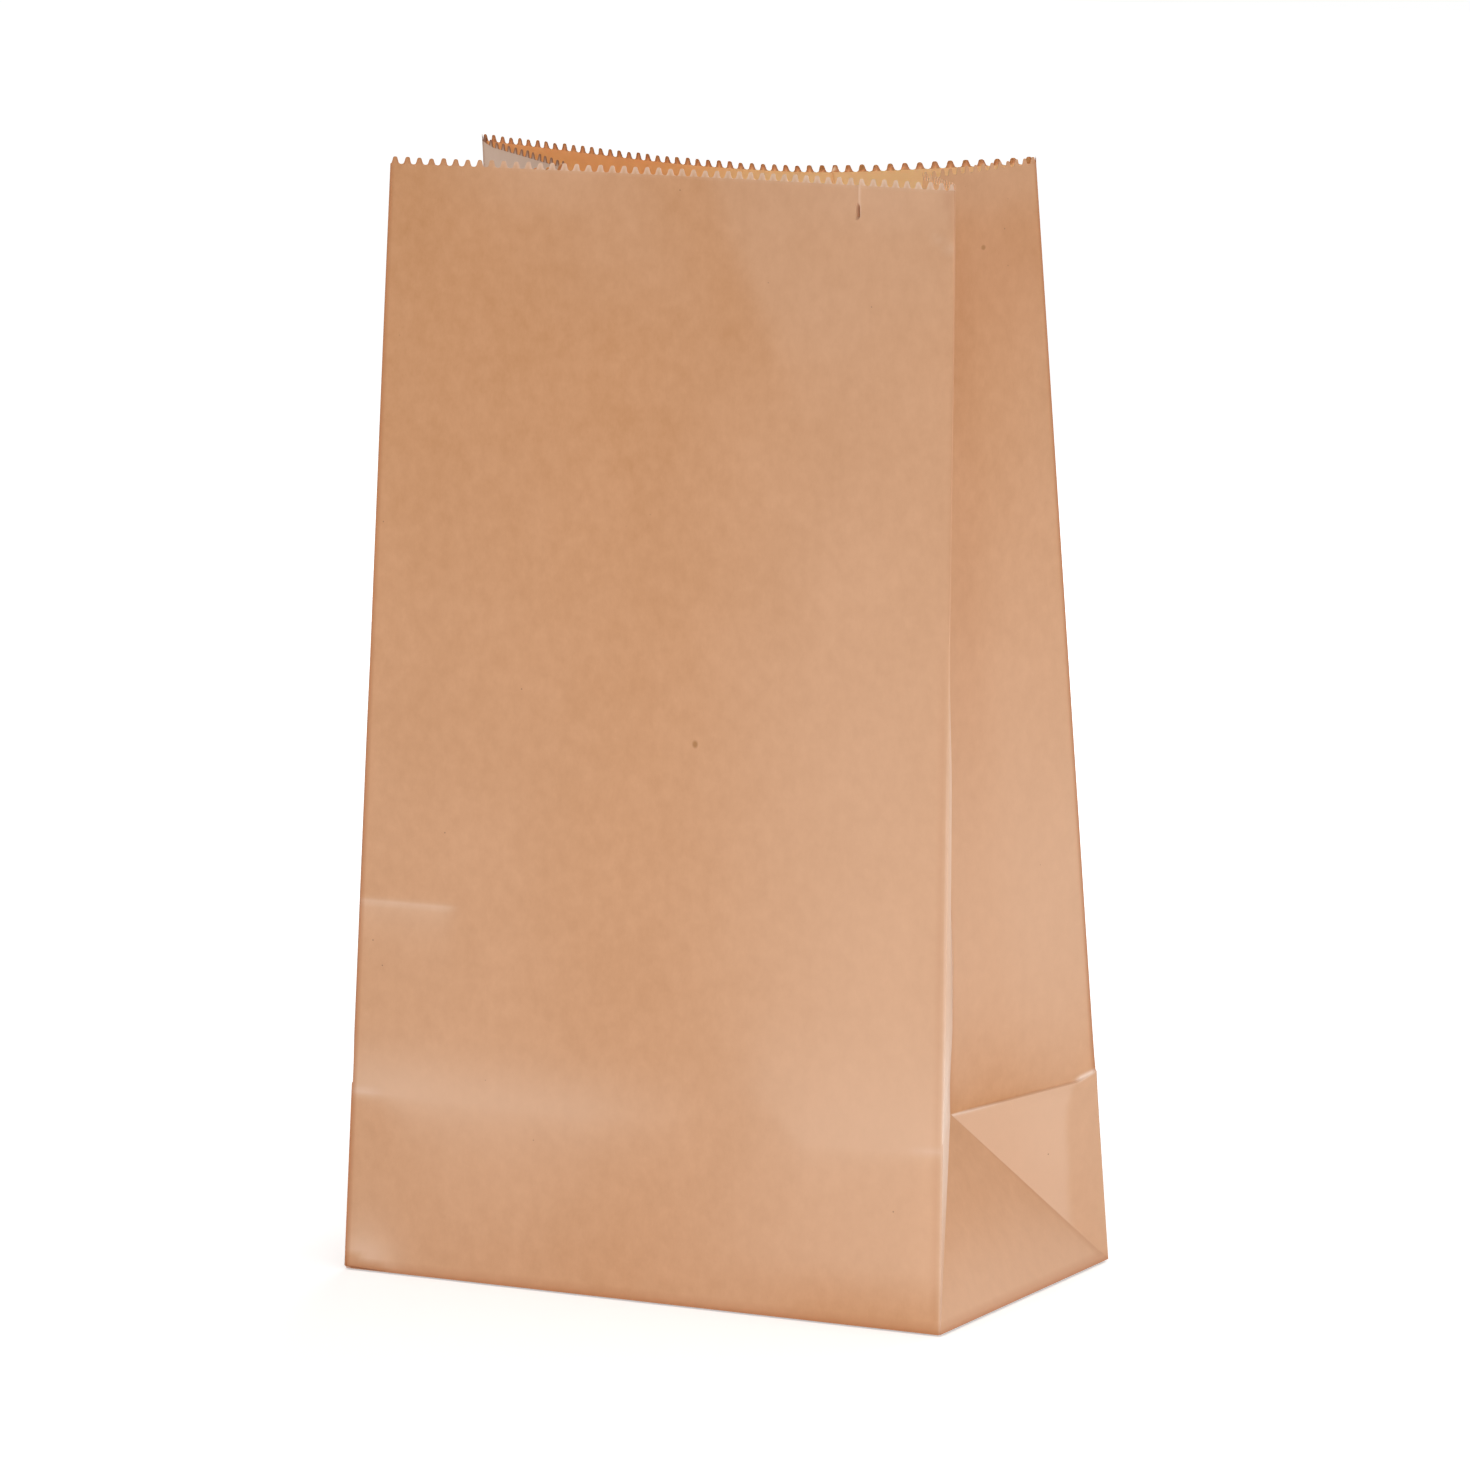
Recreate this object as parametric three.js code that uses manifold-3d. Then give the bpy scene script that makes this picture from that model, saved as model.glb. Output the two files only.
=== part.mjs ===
import * as THREE from "three";
import { mergeVertices } from "three/addons/utils/BufferGeometryUtils.js";
import Module from "manifold-3d";

// A brown paper lunch bag, standing open on its base.
// One sheet of kraft paper is folded to a tube with gusseted sides, pasted along a seam at the back,
// shut below by a folded block bottom, and cut along the mouth with a saw-tooth edge.
// Millimetres, +Z up. The origin is at the middle of the base and the front faces -Y.

// Overall sizes
const WIDTH = 150; // front and back, fold to fold at the base
const DEPTH = 85; // base, front to back
const HEIGHT = 250; // base to the tips of the teeth
const PAPER = 0.1; // one layer of paper

// How the mouth stands against the base
const FRONT_LEAN = 7.6; // the front's top edge stands this far in
const BACK_LEAN = 11.1;
const FRONT_SHIFT = 5.2; // sideways, to the right
const BACK_SHIFT = 8.5; // sideways, to the left
const FRONT_PULL = 4.3; // the folds are this much closer at the mouth than at the base
const BACK_PULL = 7;
const FRONT_TURN = THREE.MathUtils.degToRad(-4); // seen from above
const BACK_TURN = THREE.MathUtils.degToRad(-1.4);
const FRONT_BOW = 6; // the top edge bows in by this much between its folds
const BACK_BOW = 22;
const FRONT_BOW_AT = 0.5; // share along the edge where the bow is deepest, from the left
const BACK_BOW_AT = 0.65;

// The gussets' centre folds, pushed in from the line between the front and back folds
const FOLD_IN = 17.3; // at the lower end, where the base's triangles meet
const RIGHT_FOLD_IN = 17; // at the mouth
const LEFT_FOLD_IN = 31;
const MOUTH_DIP = 2.3; // the gussets' top edge is this much lower at the centre folds

// The saw-tooth edge
const PANEL_TEETH = 49; // along the front, and along the back
const HALF_TEETH = 14; // along each half of a gusset
const TOOTH_DEPTH = 1.6;

// The short slit in the front's top edge: a hairline that gapes at its lower end
const SLIT_FROM_LEFT = 123.5;
const SLIT_LENGTH = 7.4; // below the bottoms of the teeth
const HAIRLINE = 0.15;
const GAPE_WIDTH = 0.9;
const GAPE_LENGTH = 3.7;

// Paste and laps
const SEAM_WIDTH = 18; // the lap down the back
const SEAM_FROM_RIGHT = 24; // its nearer edge, from the back's right-hand fold
const SEAM_INSET = 0.4; // its ends stop this far short of the base and of the teeth
const FLAP_LAP = 10; // the front flap of the base passes the middle by this much
const FLAP_INSET = 0.4; // the flaps' outer edges stand back from the folds by this much

// Mesh fineness: rows of facets between the lower crease and the teeth
const ROWS = 4;

const UP = new THREE.Vector3(0, 0, 1);

// The base has its end triangles inmost, then the back flap, then the front flap, one layer each.
const flapFoot = 0;
const backFlapFoot = flapFoot + PAPER;
const wallFoot = backFlapFoot + PAPER;
const floorTop = wallFoot + PAPER;

// A block bottom is creased all round at half its depth, where the gusset folds start.
const creaseHeight = DEPTH / 2;
const foldDip = creaseHeight - Math.sqrt(creaseHeight ** 2 - FOLD_IN ** 2);
const toothFoot = HEIGHT - TOOTH_DEPTH;
const rowHeights = Array.from({ length: ROWS + 1 }, (_, i) => {
  return THREE.MathUtils.lerp(creaseHeight, toothFoot, i / ROWS);
});

const plan = (x, y) => new THREE.Vector2(x, y);
const mix = (a, b, share) => a.clone().lerp(b, share);

// The point this far from the middle of a mouth edge, along that edge.
function alongMouth(middle, turn, reach) {
  return plan(middle.x + reach * Math.cos(turn), middle.y + reach * Math.sin(turn));
}

// The four upright folds run straight from the base's corners to the mouth's.
const frontMiddle = plan(FRONT_SHIFT, FRONT_LEAN - DEPTH / 2);
const backMiddle = plan(-BACK_SHIFT, DEPTH / 2 - BACK_LEAN);
const frontReach = (WIDTH - FRONT_PULL) / 2;
const backReach = (WIDTH - BACK_PULL) / 2;
const upright = (foot, head) => (z) => mix(foot, head, z / HEIGHT);
const frontLeft = upright(plan(-WIDTH / 2, -DEPTH / 2), alongMouth(frontMiddle, FRONT_TURN, -frontReach));
const frontRight = upright(plan(WIDTH / 2, -DEPTH / 2), alongMouth(frontMiddle, FRONT_TURN, frontReach));
const backRight = upright(plan(WIDTH / 2, DEPTH / 2), alongMouth(backMiddle, BACK_TURN, backReach));
const backLeft = upright(plan(-WIDTH / 2, DEPTH / 2), alongMouth(backMiddle, BACK_TURN, -backReach));

// Left-hand normal of a step in plan, which points into the bag on an outline that runs anticlockwise.
function inward(from, to) {
  const step = to.clone().sub(from).normalize();
  return plan(-step.y, step.x);
}

// Share of the way from the lower crease to the mouth.
const rise = (z) => (z - creaseHeight) / (HEIGHT - creaseHeight);

// A gusset's centre fold at a height, between the two uprights beside it.
function centreFold(first, second, mouthDepth) {
  return (z) => {
    const depth = THREE.MathUtils.lerp(FOLD_IN, mouthDepth, rise(z));
    return mix(first(z), second(z), 0.5).addScaledVector(inward(first(z), second(z)), depth);
  };
}
const rightFold = centreFold(frontRight, backRight, RIGHT_FOLD_IN);
const leftFold = centreFold(backLeft, frontLeft, LEFT_FOLD_IN);

// A panel is a function of the share along it and the height, and gives a point in space on its outer face.
// The wide panels are flat at the base and bow in towards the mouth. The paper doesn't stretch, so it also
// stands lower where it bows in.
function widePanel(from, to, lean, bow, bowAt) {
  const skew = Math.log(0.5) / Math.log(bowAt);
  return (share, z) => {
    const depth = bow * Math.sin(Math.PI * share ** skew);
    const sag = ((lean + depth) ** 2 - lean ** 2) / (2 * HEIGHT);
    const up = z / HEIGHT;
    const point = mix(from(z), to(z), share).addScaledVector(inward(from(z), to(z)), depth * up);
    return new THREE.Vector3(point.x, point.y, z - sag * up);
  };
}

// Half a gusset is straight in plan. The crease under it dips towards the centre fold, and so does its mouth.
function halfGusset(from, to, nearness) {
  return (share, z) => {
    const point = mix(from(z), to(z), share);
    const dip = THREE.MathUtils.lerp(foldDip, MOUTH_DIP, rise(z));
    return new THREE.Vector3(point.x, point.y, z - dip * nearness(share));
  };
}
const towards = (share) => share;
const away = (share) => 1 - share;

const front = widePanel(frontLeft, frontRight, FRONT_LEAN, FRONT_BOW, FRONT_BOW_AT);
const back = widePanel(backRight, backLeft, BACK_LEAN, BACK_BOW, 1 - BACK_BOW_AT);
const panels = [
  { at: front, teeth: PANEL_TEETH },
  { at: halfGusset(frontRight, rightFold, towards), teeth: HALF_TEETH },
  { at: halfGusset(rightFold, backRight, away), teeth: HALF_TEETH },
  { at: back, teeth: PANEL_TEETH },
  { at: halfGusset(backLeft, leftFold, towards), teeth: HALF_TEETH },
  { at: halfGusset(leftFold, frontLeft, away), teeth: HALF_TEETH },
];

// The inner face lies one layer inside a closed outline, mitred at the folds.
function innerOutline(outer) {
  const count = outer.length;
  const flat = outer.map((p) => plan(p.x, p.y));
  return outer.map((point, i) => {
    const before = inward(flat[(i + count - 1) % count], flat[i]);
    const after = inward(flat[i], flat[(i + 1) % count]);
    const mitre = before.clone().add(after).divideScalar(1 + before.dot(after));
    return new THREE.Vector3(point.x + mitre.x * PAPER, point.y + mitre.y * PAPER, point.z);
  });
}

// The wall's outline at a height, anticlockwise from the front left fold, with this many steps to a tooth.
function ring(z, steps = 1) {
  const outer = panels.flatMap(({ at, teeth }) => {
    const count = teeth * steps;
    return Array.from({ length: count }, (_, i) => at(i / count, z));
  });
  return { outer, inner: innerOutline(outer) };
}

// At its foot the wall follows the base's rectangle: the sides have no points between their corners.
function footRing() {
  const columns = Array.from({ length: PANEL_TEETH + 1 }, (_, i) => i / PANEL_TEETH);
  const outer = [front, back].flatMap((panel) => columns.map((share) => panel(share, 0).setZ(wallFoot)));
  const inner = innerOutline(outer).map((point) => point.setZ(floorTop));
  return { outer, inner };
}

// A list of triangles that becomes a closed solid.
class Facets {
  corners = [];

  triangle(a, b, c) {
    this.corners.push(a, b, c);
  }

  quad(a, b, c, d) {
    this.triangle(a, b, c);
    this.triangle(a, c, d);
  }

  geometry() {
    return new THREE.BufferGeometry().setFromPoints(this.corners);
  }
}

// One face of the wall and of the base: outer as given, or inner with its triangles turned round.
function addSkin(facets, foot, rings, tips, turned) {
  const triangle = (a, b, c) => (turned ? facets.triangle(a, c, b) : facets.triangle(a, b, c));
  const quad = (a, b, c, d) => {
    triangle(a, b, c);
    triangle(a, c, d);
  };

  const crease = rings[0];
  const half = PANEL_TEETH + 2 * HALF_TEETH;
  for (let side = 0; side < 2; side += 1) {
    const footStart = side * (PANEL_TEETH + 1);
    const start = side * half;
    for (let i = 0; i < PANEL_TEETH; i += 1) {
      quad(foot[footStart + i], foot[footStart + i + 1], crease[start + i + 1], crease[start + i]);
    }
    // The block bottom's triangles: a fan from each corner, and one that stands on the side of the base.
    const nearCorner = foot[footStart + PANEL_TEETH];
    const farCorner = foot[(footStart + PANEL_TEETH + 1) % foot.length];
    const at = (i) => crease[(start + PANEL_TEETH + i) % crease.length];
    for (let i = 0; i < HALF_TEETH; i += 1) {
      triangle(nearCorner, at(i + 1), at(i));
      triangle(farCorner, at(HALF_TEETH + i + 1), at(HALF_TEETH + i));
    }
    triangle(nearCorner, farCorner, at(HALF_TEETH));
  }

  rings.slice(1).forEach((upper, row) => {
    const lower = rings[row];
    lower.forEach((point, i) => {
      const next = (i + 1) % lower.length;
      quad(point, lower[next], upper[next], upper[i]);
    });
  });

  const top = rings.at(-1);
  tips.forEach((tip, i) => triangle(top[i], top[(i + 1) % top.length], tip));

  const backStart = PANEL_TEETH + 1;
  for (let i = 0; i < PANEL_TEETH; i += 1) {
    const behind = backStart + PANEL_TEETH - i;
    quad(foot[i], foot[behind], foot[behind - 1], foot[i + 1]);
  }
}

// The wall with its teeth and one layer of base, as a closed shell that is open at the mouth.
function wallGeometry() {
  const facets = new Facets();
  const foot = footRing();
  const rings = rowHeights.map((z) => ring(z));
  const fine = ring(HEIGHT, 2);
  const odd = (points) => points.filter((_, i) => i % 2 === 1);
  const tips = { outer: odd(fine.outer), inner: odd(fine.inner) };
  for (const face of ["outer", "inner"]) {
    addSkin(facets, foot[face], rings.map((r) => r[face]), tips[face], face === "inner");
  }

  // The cut edge of the paper, up and down each tooth.
  const top = rings.at(-1);
  tips.outer.forEach((tip, i) => {
    const next = (i + 1) % top.outer.length;
    facets.quad(top.outer[i], tip, tips.inner[i], top.inner[i]);
    facets.quad(tip, top.outer[next], top.inner[next], tips.inner[i]);
  });
  return facets.geometry();
}

// The pasted lap down the back: a second layer on the outer face, sunk half a layer into the first.
function seamGeometry() {
  const facets = new Facets();
  const first = SEAM_FROM_RIGHT / WIDTH;
  const last = (SEAM_FROM_RIGHT + SEAM_WIDTH) / WIDTH;
  const between = Array.from({ length: PANEL_TEETH }, (_, i) => i / PANEL_TEETH);
  const shares = [first, ...between.filter((s) => s > first && s < last), last];
  const heights = [floorTop + SEAM_INSET, ...rowHeights.slice(0, -1), toothFoot - SEAM_INSET];
  const face = (offset) =>
    heights.map((z) =>
      shares.map((share) => {
        const nudge = 1 / (2 * PANEL_TEETH);
        const step = back(share + nudge, z).sub(back(share - nudge, z));
        return back(share, z).addScaledVector(step.cross(UP).normalize(), offset);
      }),
    );
  const raised = face(PAPER);
  const sunk = face(-PAPER / 2);

  for (let row = 0; row + 1 < heights.length; row += 1) {
    for (let i = 0; i + 1 < shares.length; i += 1) {
      facets.quad(raised[row][i], raised[row][i + 1], raised[row + 1][i + 1], raised[row + 1][i]);
      facets.quad(sunk[row][i], sunk[row + 1][i], sunk[row + 1][i + 1], sunk[row][i + 1]);
    }
    const end = shares.length - 1;
    facets.quad(sunk[row][0], raised[row][0], raised[row + 1][0], sunk[row + 1][0]);
    facets.quad(raised[row][end], sunk[row][end], sunk[row + 1][end], raised[row + 1][end]);
  }
  const top = heights.length - 1;
  for (let i = 0; i + 1 < shares.length; i += 1) {
    facets.quad(sunk[0][i], sunk[0][i + 1], raised[0][i + 1], raised[0][i]);
    facets.quad(raised[top][i], raised[top][i + 1], sunk[top][i + 1], sunk[top][i]);
  }
  return facets.geometry();
}

// A flap of the base: mitred at 45 degrees from the corners to the middle, with its free edge just past it.
function flapGeometry(foot, facing) {
  const edge = DEPTH / 2 - FLAP_INSET;
  const reach = WIDTH / 2 - FLAP_INSET;
  const freeReach = reach - edge;
  const right = [plan(reach, -edge), plan(freeReach, 0), plan(freeReach, FLAP_LAP)];
  const left = right.map(({ x, y }) => plan(-x, y)).reverse();
  const thickness = wallFoot - foot + PAPER / 2;
  const outline = new THREE.Shape([...right, ...left]);
  const flap = new THREE.ExtrudeGeometry(outline, { depth: thickness, bevelEnabled: false });
  return flap.rotateZ(facing).translate(0, 0, foot);
}

// A cutter through the front wall, as wide and as long as stated, with its top at a height.
function slitCutter(width, length, top) {
  const share = SLIT_FROM_LEFT / WIDTH;
  const nudge = 1 / (2 * PANEL_TEETH);
  const middle = front(share, top - length / 2);
  const step = front(share + nudge, top).sub(front(share - nudge, top));
  const through = 2 * TOOTH_DEPTH + 10 * PAPER;
  const cutter = new THREE.BoxGeometry(width, through, length);
  return cutter.rotateZ(Math.atan2(step.y, step.x)).translate(middle.x, middle.y, middle.z);
}

const wasm = await Module();
wasm.setup();

function solid(geometry) {
  geometry.deleteAttribute("normal");
  geometry.deleteAttribute("uv");
  const merged = mergeVertices(geometry, 1e-4);
  const triVerts = new Uint32Array(merged.index.array);
  const vertProperties = merged.attributes.position.array;
  return new wasm.Manifold(new wasm.Mesh({ numProp: 3, vertProperties, triVerts }));
}

function bufferGeometry(body) {
  const { vertProperties, triVerts } = body.getMesh();
  const geometry = new THREE.BufferGeometry();
  geometry.setAttribute("position", new THREE.BufferAttribute(vertProperties, 3));
  geometry.setIndex(new THREE.BufferAttribute(triVerts, 1));
  return geometry;
}

const slitFoot = toothFoot - SLIT_LENGTH;
const slitHead = HEIGHT + TOOTH_DEPTH;
const bag = solid(wallGeometry())
  .add(solid(flapGeometry(flapFoot, 0)))
  .add(solid(flapGeometry(backFlapFoot, Math.PI)))
  .add(solid(seamGeometry()))
  .subtract(solid(slitCutter(GAPE_WIDTH, GAPE_LENGTH, slitFoot + GAPE_LENGTH)))
  .subtract(solid(slitCutter(HAIRLINE, slitHead - slitFoot, slitHead)));

const kraft = new THREE.MeshStandardMaterial({ color: 0xcfa27c, roughness: 0.85, metalness: 0 });
const paperBag = new THREE.Mesh(bufferGeometry(bag), kraft);
paperBag.name = "paper_bag";

const part = new THREE.Group();
part.add(paperBag);

export default part;
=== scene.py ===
import math

import bpy
import numpy as np
from mathutils import Matrix, Vector


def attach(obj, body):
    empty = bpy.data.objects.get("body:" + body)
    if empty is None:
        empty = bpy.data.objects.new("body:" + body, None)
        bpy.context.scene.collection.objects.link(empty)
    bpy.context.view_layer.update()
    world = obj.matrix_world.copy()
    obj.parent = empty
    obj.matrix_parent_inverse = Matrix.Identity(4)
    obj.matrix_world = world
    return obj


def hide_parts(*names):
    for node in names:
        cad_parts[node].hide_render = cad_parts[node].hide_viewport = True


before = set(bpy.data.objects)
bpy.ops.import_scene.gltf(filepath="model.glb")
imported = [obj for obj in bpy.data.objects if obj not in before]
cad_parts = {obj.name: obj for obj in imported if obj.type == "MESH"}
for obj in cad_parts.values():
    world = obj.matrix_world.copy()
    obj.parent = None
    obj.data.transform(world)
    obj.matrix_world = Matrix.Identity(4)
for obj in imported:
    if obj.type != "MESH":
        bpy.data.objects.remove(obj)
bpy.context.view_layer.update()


# The sheet is brown kraft paper of about 80 grams a square metre, calendered smooth on its outer face.
# Unbleached wood pulp leaves it tan, clouded where the pulp lies thicker, with fibres along the machine's run.
# Painted light and painted sheen make it paler low down, to the right and on the creases, and painted shade makes the
# folds, the foot, the hollows and the back's teeth a redder, darker brown.
TAN_DEEP = (0.468, 0.213, 0.080)
TAN_LIGHT = (0.572, 0.288, 0.140)
# Below, the pale colour is what painted light turns the paper to, and the whitish one is painted sheen and highlight
# with some rubbed fibres. The red-brown one is painted shade, and the near-black one is deeper painted shade.
TAN_PALE = (0.692, 0.452, 0.312)
TAN_RUBBED = (0.80, 0.63, 0.52)
TAN_BURNISHED = (0.385, 0.125, 0.034)
TAN_SOILED = (0.15, 0.045, 0.016)
SPECK_BROWN = (0.20, 0.095, 0.045)
FLAKE_BROWN = (0.36, 0.162, 0.056)
# The inside is the sheet's rough face, redder than the outer. Its colours are also painted lighter, as painted light
# for the little that reaches inside, and the palest is what painted light lifts the inside towards, most at the mouth's
# right.
INNER_DEEP = (0.70, 0.26, 0.112)
INNER_LIGHT = (0.77, 0.32, 0.148)
INNER_PALE = (1.0, 0.45, 0.275)
PAPER_SHEEN = 0.06
SPECULAR_LEVEL = 0.45
LIGHT_REACH = (0.00080, 0.00060, 0.00045)

CLOUDS_PER_METRE = 38.0
FLOCS_PER_METRE = 300.0
FIBRES_PER_METRE = 2600.0
FIBRE_STRETCH = 0.3
SPECKS_PER_METRE = 105.0
SPECK_RADIUS = 0.00022
BARK_FLAKES = (((0.01182, -0.03611, 0.12450), 0.85), ((0.05897, 0.01140, 0.23128), 1.3))
FLAKE_RADIUS = 0.00095
FIBRE_HEIGHT = 0.00004


def shader_node(tree, kind, sockets=None, **settings):
    """A node with its settings and sockets filled; a socket given as a value is set, and as an output is linked."""
    made = tree.nodes.new(kind)
    for name, value in settings.items():
        setattr(made, name, value)
    for key, value in (sockets or {}).items():
        if isinstance(value, bpy.types.NodeSocket):
            tree.links.new(value, made.inputs[key])
        else:
            made.inputs[key].default_value = value
    return made


def colour(rgb):
    return (*rgb, 1.0)


def blended(tree, share, under, over):
    """The colour that goes from under to over as share goes from 0 to 1."""
    mix = shader_node(tree, "ShaderNodeMix", {0: share}, data_type="RGBA")
    for socket, value in ((mix.inputs[6], under), (mix.inputs[7], over)):
        if isinstance(value, bpy.types.NodeSocket):
            tree.links.new(value, socket)
        else:
            socket.default_value = colour(value)
    return mix.outputs[2]


def arithmetic(tree, operation, first, second=0.0, third=0.0):
    made = shader_node(tree, "ShaderNodeMath", {0: first, 1: second, 2: third}, operation=operation)
    return made.outputs[0]


def spread(tree, value, low, high, to_low=0.0, to_high=1.0):
    """value taken from one range to another, and held at the ends."""
    sockets = {"Value": value, "From Min": low, "From Max": high, "To Min": to_low, "To Max": to_high}
    return shader_node(tree, "ShaderNodeMapRange", sockets).outputs["Result"]


def mark(tree, name):
    """A number that the mesh carries at its points."""
    return shader_node(tree, "ShaderNodeAttribute", attribute_name=name).outputs["Fac"]


def kraft(name, deep, light, pale, roughness, glow=0.0, pale_mark="pale"):
    """Kraft paper: pulp clouds, flocs, fibres and specks, with painted light, sheen and shade laid over them.

    glow is the share of the colour that comes from light going through the thin sheet.
    """
    material = bpy.data.materials.new(name)
    material.use_nodes = True
    tree = material.node_tree
    tree.nodes.clear()
    place = shader_node(tree, "ShaderNodeTexCoord").outputs["Object"]

    def noise(per_metre, detail, rough, stretch=1.0):
        run = shader_node(tree, "ShaderNodeMapping", {"Vector": place, "Scale": (1.0, 1.0, stretch)})
        sockets = {"Vector": run.outputs[0], "Scale": per_metre, "Detail": detail, "Roughness": rough}
        return shader_node(tree, "ShaderNodeTexNoise", sockets).outputs[0]

    clouds = noise(CLOUDS_PER_METRE, 4.0, 0.55)
    flocs = noise(FLOCS_PER_METRE, 5.0, 0.6, 0.85)
    fibres = noise(FIBRES_PER_METRE, 3.0, 0.6, FIBRE_STRETCH)

    # The pulp's unevenness, from the broad clouds down to single fibres.
    pulp = arithmetic(tree, "MULTIPLY_ADD", spread(tree, clouds, 0.3, 0.7), 0.33,
                      arithmetic(tree, "MULTIPLY", spread(tree, flocs, 0.30, 0.70), 0.60))
    pulp = arithmetic(tree, "MULTIPLY_ADD", spread(tree, fibres, 0.3, 0.7), 0.13, pulp)
    paper = blended(tree, pulp, deep, light)

    # Painted light as broad paleness low down and to the right, then painted sheen and highlights, painted shade along
    # the folds and in hollows, and deeper painted shade on the back's teeth and in the slit.
    paper = blended(tree, mark(tree, pale_mark), paper, pale)
    broken = spread(tree, flocs, 0.35, 0.6, 0.75, 1.0)
    rubbed = arithmetic(tree, "MULTIPLY", mark(tree, "rubbed"), broken)
    paper = blended(tree, rubbed, paper, TAN_RUBBED)
    paper = blended(tree, mark(tree, "burnished"), paper, TAN_BURNISHED)
    paper = blended(tree, mark(tree, "soiled"), paper, TAN_SOILED)

    # Specks of bark, where a point of the pattern comes within a speck's radius of the sheet.
    cells = shader_node(tree, "ShaderNodeTexVoronoi",
                        {"Vector": place, "Scale": SPECKS_PER_METRE, "Randomness": 1.0})
    reach = SPECK_RADIUS * SPECKS_PER_METRE
    speck = spread(tree, cells.outputs["Distance"], 0.5 * reach, reach, 0.75, 0.0)
    paper = blended(tree, speck, paper, SPECK_BROWN)
    for (x, y, z), stretch in BARK_FLAKES:
        run = shader_node(tree, "ShaderNodeMapping", {"Vector": place, "Scale": (1.0, 1.0, stretch)})
        off = shader_node(tree, "ShaderNodeVectorMath", {0: run.outputs[0], 1: (x, y, z * stretch)},
                          operation="DISTANCE")
        flake = spread(tree, off.outputs["Value"], 0.5 * FLAKE_RADIUS, FLAKE_RADIUS, 0.95, 0.0)
        paper = blended(tree, flake, paper, FLAKE_BROWN)

    relief = arithmetic(tree, "MULTIPLY_ADD", flocs, 0.6, arithmetic(tree, "MULTIPLY", fibres, 0.4))
    bump = shader_node(tree, "ShaderNodeBump",
                       {"Height": relief, "Strength": 0.55, "Distance": FIBRE_HEIGHT})
    gloss = spread(tree, flocs, 0.3, 0.7, roughness - 0.05, roughness + 0.07)
    surface = shader_node(tree, "ShaderNodeBsdfPrincipled", {
        "Base Color": paper,
        "Roughness": gloss,
        "Normal": bump.outputs["Normal"],
        "Specular IOR Level": SPECULAR_LEVEL,
        "Sheen Weight": PAPER_SHEEN,
        "Subsurface Weight": glow,
        "Subsurface Radius": LIGHT_REACH,
        "Subsurface Scale": 1.0,
    })
    output = shader_node(tree, "ShaderNodeOutputMaterial")
    tree.links.new(surface.outputs[0], output.inputs["Surface"])
    return material


smooth_face = kraft("kraft_smooth_face", TAN_DEEP, TAN_LIGHT, TAN_PALE, 0.62)
inner_face = kraft("kraft_inner_face", INNER_DEEP, INNER_LIGHT, INNER_PALE, 0.70, glow=1.0, pale_mark="inner_pale")
cut_edge = kraft("kraft_cut_edge", TAN_LIGHT, TAN_PALE, TAN_PALE, 0.80)


# The tube is the sheet folded round into a front, a back and two gusseted sides, with its ends lapped and
# pasted down the back. Its foot is shut square, so each side has three triangles below a crease at half the
# base's depth. A saw-tooth knife cut the mouth, and the front's top edge has a short slit torn in it.
MM = 0.001
WIDTH = 150.0
DEPTH = 85.0
HEIGHT = 250.0
PAPER = 0.1
FRONT_LEAN = 7.6
BACK_LEAN = 11.1
FRONT_SHIFT = 5.2
BACK_SHIFT = 8.5
FRONT_PULL = 4.3
BACK_PULL = 7.0
FRONT_TURN = math.radians(-4.0)
BACK_TURN = math.radians(-1.4)
FRONT_BOW = 6.0
BACK_BOW = 22.0
FRONT_BOW_AT = 0.5
BACK_BOW_AT = 0.65
FOLD_IN = 17.3
RIGHT_FOLD_IN = 17.0
LEFT_FOLD_IN = 31.0
MOUTH_DIP = 2.3
RIGHT_MOUTH_DIP = 0.8
RIGHT_CREASE_DIP = 2.6
LEFT_SLACK = 1.0
LEFT_TUCK = 1.6
PANEL_TEETH = 49
HALF_TEETH = 14
TOOTH_DEPTH = 1.6

WALL_FOOT = 2 * PAPER
CREASE = DEPTH / 2
FOLD_DIP = CREASE - math.sqrt(CREASE ** 2 - FOLD_IN ** 2)
TOOTH_FOOT = HEIGHT - TOOTH_DEPTH


def plan(x, y):
    return np.array([x, y])


def along_mouth(middle, turn, reach):
    return middle + reach * plan(math.cos(turn), math.sin(turn))


def upright(foot, head):
    """A fold that runs straight from a corner of the base to a corner of the mouth."""
    return lambda z: foot + (head - foot) * (z / HEIGHT)


front_middle = plan(FRONT_SHIFT, FRONT_LEAN - DEPTH / 2)
back_middle = plan(-BACK_SHIFT, DEPTH / 2 - BACK_LEAN)
front_reach = (WIDTH - FRONT_PULL) / 2
back_reach = (WIDTH - BACK_PULL) / 2
half_w, half_d = WIDTH / 2, DEPTH / 2
front_left = upright(plan(-half_w, -half_d), along_mouth(front_middle, FRONT_TURN, -front_reach))
front_right = upright(plan(half_w, -half_d), along_mouth(front_middle, FRONT_TURN, front_reach))
back_right = upright(plan(half_w, half_d), along_mouth(back_middle, BACK_TURN, back_reach))
back_left = upright(plan(-half_w, half_d), along_mouth(back_middle, BACK_TURN, -back_reach))


def inward(start, end):
    step = (end - start) / np.linalg.norm(end - start)
    return plan(-step[1], step[0])


def rise(z):
    """Share of the way from the lower crease to the mouth."""
    return (z - CREASE) / (HEIGHT - CREASE)


def centre_fold(first, second, mouth_depth):
    def at(z):
        depth = FOLD_IN + (mouth_depth - FOLD_IN) * rise(z)
        return (first(z) + second(z)) / 2 + depth * inward(first(z), second(z))
    return at


right_fold = centre_fold(front_right, back_right, RIGHT_FOLD_IN)
left_fold = centre_fold(back_left, front_left, LEFT_FOLD_IN)


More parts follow.
